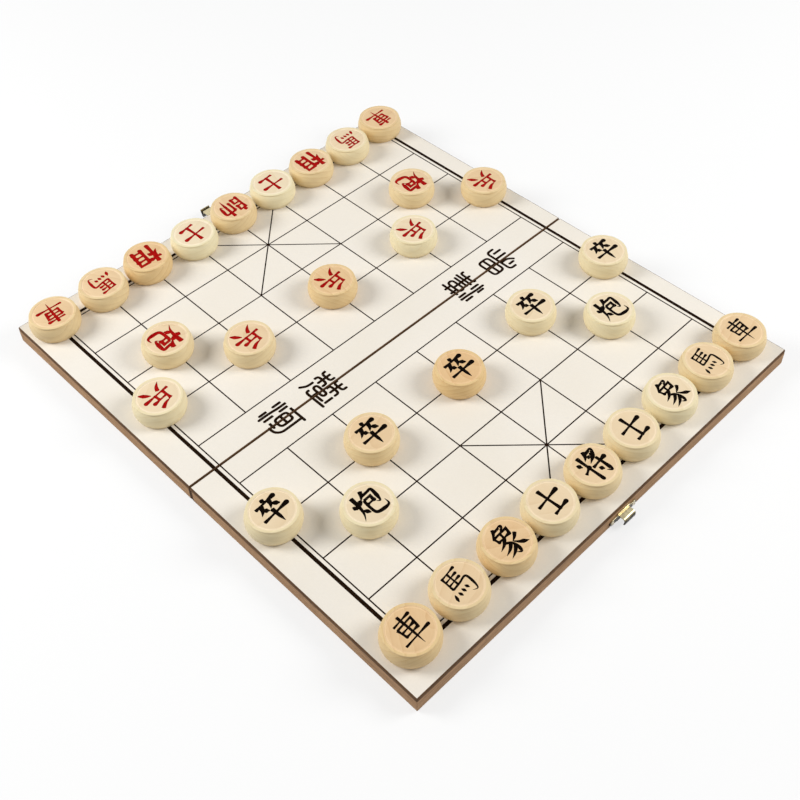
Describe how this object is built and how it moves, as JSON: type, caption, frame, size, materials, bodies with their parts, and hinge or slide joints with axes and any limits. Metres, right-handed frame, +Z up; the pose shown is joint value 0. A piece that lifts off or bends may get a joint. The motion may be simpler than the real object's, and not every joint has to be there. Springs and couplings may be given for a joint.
{
  "type": "folding xiangqi case",
  "caption": "Shallow folding wooden case with a xiangqi board printed across its two trays, small hinges under the seam, a swinging clasp, and loose turned playing pieces set out on top.",
  "frame": {"origin": "middle of the whole outline, at the level of the ground under the hinge barrels", "axes": "+X along the seam, +Y to the red side and the latch, +Z up out of the board"},
  "size_m": [0.301, 0.3564, 0.0247],
  "materials": {
    "board_panel": "printed cream face under satin lacquer, brown edge",
    "rail_wood": "stained, satin lacquer",
    "piece_wood": "turned and waxed, painted characters",
    "hinge_metal": "brassed steel, satin",
    "clasp_metal": "plated steel, bright with dark tarnish in the folds"
  },
  "bodies": {
    "near_half": {"near_panel": "board_panel", "near_outer_rail": "rail_wood", "near_seam_rail": "rail_wood", "near_left_rail": "rail_wood", "near_right_rail": "rail_wood", "left_near_leaf": "hinge_metal", "right_near_leaf": "hinge_metal", "left_pin": "hinge_metal", "right_pin": "hinge_metal", "near_hinge_nails": "hinge_metal", "keeper": "clasp_metal", "keeper_nails": "clasp_metal"},
    "far_half": {"far_panel": "board_panel", "far_outer_rail": "rail_wood", "far_seam_rail": "rail_wood", "far_left_rail": "rail_wood", "far_right_rail": "rail_wood", "left_far_leaf": "hinge_metal", "right_far_leaf": "hinge_metal", "far_hinge_nails": "hinge_metal", "latch_plate": "clasp_metal", "latch_pin": "clasp_metal", "latch_nails": "clasp_metal"},
    "latch": {"latch_lever": "clasp_metal"},
    "red_chariot_left_body": {"red_chariot_left": "piece_wood"},
    "red_horse_left_body": {"red_horse_left": "piece_wood"},
    "red_elephant_left_body": {"red_elephant_left": "piece_wood"},
    "red_advisor_left_body": {"red_advisor_left": "piece_wood"},
    "red_general_body": {"red_general": "piece_wood"},
    "red_advisor_right_body": {"red_advisor_right": "piece_wood"},
    "red_elephant_right_body": {"red_elephant_right": "piece_wood"},
    "red_horse_right_body": {"red_horse_right": "piece_wood"},
    "red_chariot_right_body": {"red_chariot_right": "piece_wood"},
    "red_cannon_left_body": {"red_cannon_left": "piece_wood"},
    "red_cannon_right_body": {"red_cannon_right": "piece_wood"},
    "red_soldier_1_body": {"red_soldier_1": "piece_wood"},
    "red_soldier_2_body": {"red_soldier_2": "piece_wood"},
    "red_soldier_3_body": {"red_soldier_3": "piece_wood"},
    "red_soldier_4_body": {"red_soldier_4": "piece_wood"},
    "red_soldier_5_body": {"red_soldier_5": "piece_wood"},
    "black_soldier_1_body": {"black_soldier_1": "piece_wood"},
    "black_soldier_2_body": {"black_soldier_2": "piece_wood"},
    "black_soldier_3_body": {"black_soldier_3": "piece_wood"},
    "black_soldier_4_body": {"black_soldier_4": "piece_wood"},
    "black_soldier_5_body": {"black_soldier_5": "piece_wood"},
    "black_cannon_left_body": {"black_cannon_left": "piece_wood"},
    "black_cannon_right_body": {"black_cannon_right": "piece_wood"},
    "black_chariot_left_body": {"black_chariot_left": "piece_wood"},
    "black_horse_left_body": {"black_horse_left": "piece_wood"},
    "black_elephant_left_body": {"black_elephant_left": "piece_wood"},
    "black_advisor_left_body": {"black_advisor_left": "piece_wood"},
    "black_general_body": {"black_general": "piece_wood"},
    "black_advisor_right_body": {"black_advisor_right": "piece_wood"},
    "black_elephant_right_body": {"black_elephant_right": "piece_wood"},
    "black_horse_right_body": {"black_horse_right": "piece_wood"},
    "black_chariot_right_body": {"black_chariot_right": "piece_wood"}
  },
  "joints": [
    {"name": "fold", "type": "hinge", "parent": "near_half", "child": "far_half", "pos_m": [0, -0.00442, 0.0011], "axis": [-1, 0, 0], "range_deg": [0, 180]},
    {"name": "latch_swing", "type": "hinge", "parent": "far_half", "child": "latch", "pos_m": [0, 0.16583, 0.00295], "axis": [-1, 0, 0], "range_deg": [-30, 90]},
    {"name": "red_chariot_left_lift", "type": "slide", "parent": "far_half", "child": "red_chariot_left_body", "axis": [0, 0, 1], "range_m": [0, 0.04]},
    {"name": "red_horse_left_lift", "type": "slide", "parent": "far_half", "child": "red_horse_left_body", "axis": [0, 0, 1], "range_m": [0, 0.04]},
    {"name": "red_elephant_left_lift", "type": "slide", "parent": "far_half", "child": "red_elephant_left_body", "axis": [0, 0, 1], "range_m": [0, 0.04]},
    {"name": "red_advisor_left_lift", "type": "slide", "parent": "far_half", "child": "red_advisor_left_body", "axis": [0, 0, 1], "range_m": [0, 0.04]},
    {"name": "red_general_lift", "type": "slide", "parent": "far_half", "child": "red_general_body", "axis": [0, 0, 1], "range_m": [0, 0.04]},
    {"name": "red_advisor_right_lift", "type": "slide", "parent": "far_half", "child": "red_advisor_right_body", "axis": [0, 0, 1], "range_m": [0, 0.04]},
    {"name": "red_elephant_right_lift", "type": "slide", "parent": "far_half", "child": "red_elephant_right_body", "axis": [0, 0, 1], "range_m": [0, 0.04]},
    {"name": "red_horse_right_lift", "type": "slide", "parent": "far_half", "child": "red_horse_right_body", "axis": [0, 0, 1], "range_m": [0, 0.04]},
    {"name": "red_chariot_right_lift", "type": "slide", "parent": "far_half", "child": "red_chariot_right_body", "axis": [0, 0, 1], "range_m": [0, 0.04]},
    {"name": "red_cannon_left_lift", "type": "slide", "parent": "far_half", "child": "red_cannon_left_body", "axis": [0, 0, 1], "range_m": [0, 0.04]},
    {"name": "red_cannon_right_lift", "type": "slide", "parent": "far_half", "child": "red_cannon_right_body", "axis": [0, 0, 1], "range_m": [0, 0.04]},
    {"name": "red_soldier_1_lift", "type": "slide", "parent": "far_half", "child": "red_soldier_1_body", "axis": [0, 0, 1], "range_m": [0, 0.04]},
    {"name": "red_soldier_2_lift", "type": "slide", "parent": "far_half", "child": "red_soldier_2_body", "axis": [0, 0, 1], "range_m": [0, 0.04]},
    {"name": "red_soldier_3_lift", "type": "slide", "parent": "far_half", "child": "red_soldier_3_body", "axis": [0, 0, 1], "range_m": [0, 0.04]},
    {"name": "red_soldier_4_lift", "type": "slide", "parent": "far_half", "child": "red_soldier_4_body", "axis": [0, 0, 1], "range_m": [0, 0.04]},
    {"name": "red_soldier_5_lift", "type": "slide", "parent": "far_half", "child": "red_soldier_5_body", "axis": [0, 0, 1], "range_m": [0, 0.04]},
    {"name": "black_soldier_1_lift", "type": "slide", "parent": "near_half", "child": "black_soldier_1_body", "axis": [0, 0, 1], "range_m": [0, 0.04]},
    {"name": "black_soldier_2_lift", "type": "slide", "parent": "near_half", "child": "black_soldier_2_body", "axis": [0, 0, 1], "range_m": [0, 0.04]},
    {"name": "black_soldier_3_lift", "type": "slide", "parent": "near_half", "child": "black_soldier_3_body", "axis": [0, 0, 1], "range_m": [0, 0.04]},
    {"name": "black_soldier_4_lift", "type": "slide", "parent": "near_half", "child": "black_soldier_4_body", "axis": [0, 0, 1], "range_m": [0, 0.04]},
    {"name": "black_soldier_5_lift", "type": "slide", "parent": "near_half", "child": "black_soldier_5_body", "axis": [0, 0, 1], "range_m": [0, 0.04]},
    {"name": "black_cannon_left_lift", "type": "slide", "parent": "near_half", "child": "black_cannon_left_body", "axis": [0, 0, 1], "range_m": [0, 0.04]},
    {"name": "black_cannon_right_lift", "type": "slide", "parent": "near_half", "child": "black_cannon_right_body", "axis": [0, 0, 1], "range_m": [0, 0.04]},
    {"name": "black_chariot_left_lift", "type": "slide", "parent": "near_half", "child": "black_chariot_left_body", "axis": [0, 0, 1], "range_m": [0, 0.04]},
    {"name": "black_horse_left_lift", "type": "slide", "parent": "near_half", "child": "black_horse_left_body", "axis": [0, 0, 1], "range_m": [0, 0.04]},
    {"name": "black_elephant_left_lift", "type": "slide", "parent": "near_half", "child": "black_elephant_left_body", "axis": [0, 0, 1], "range_m": [0, 0.04]},
    {"name": "black_advisor_left_lift", "type": "slide", "parent": "near_half", "child": "black_advisor_left_body", "axis": [0, 0, 1], "range_m": [0, 0.04]},
    {"name": "black_general_lift", "type": "slide", "parent": "near_half", "child": "black_general_body", "axis": [0, 0, 1], "range_m": [0, 0.04]},
    {"name": "black_advisor_right_lift", "type": "slide", "parent": "near_half", "child": "black_advisor_right_body", "axis": [0, 0, 1], "range_m": [0, 0.04]},
    {"name": "black_elephant_right_lift", "type": "slide", "parent": "near_half", "child": "black_elephant_right_body", "axis": [0, 0, 1], "range_m": [0, 0.04]},
    {"name": "black_horse_right_lift", "type": "slide", "parent": "near_half", "child": "black_horse_right_body", "axis": [0, 0, 1], "range_m": [0, 0.04]},
    {"name": "black_chariot_right_lift", "type": "slide", "parent": "near_half", "child": "black_chariot_right_body", "axis": [0, 0, 1], "range_m": [0, 0.04]}
  ]
}
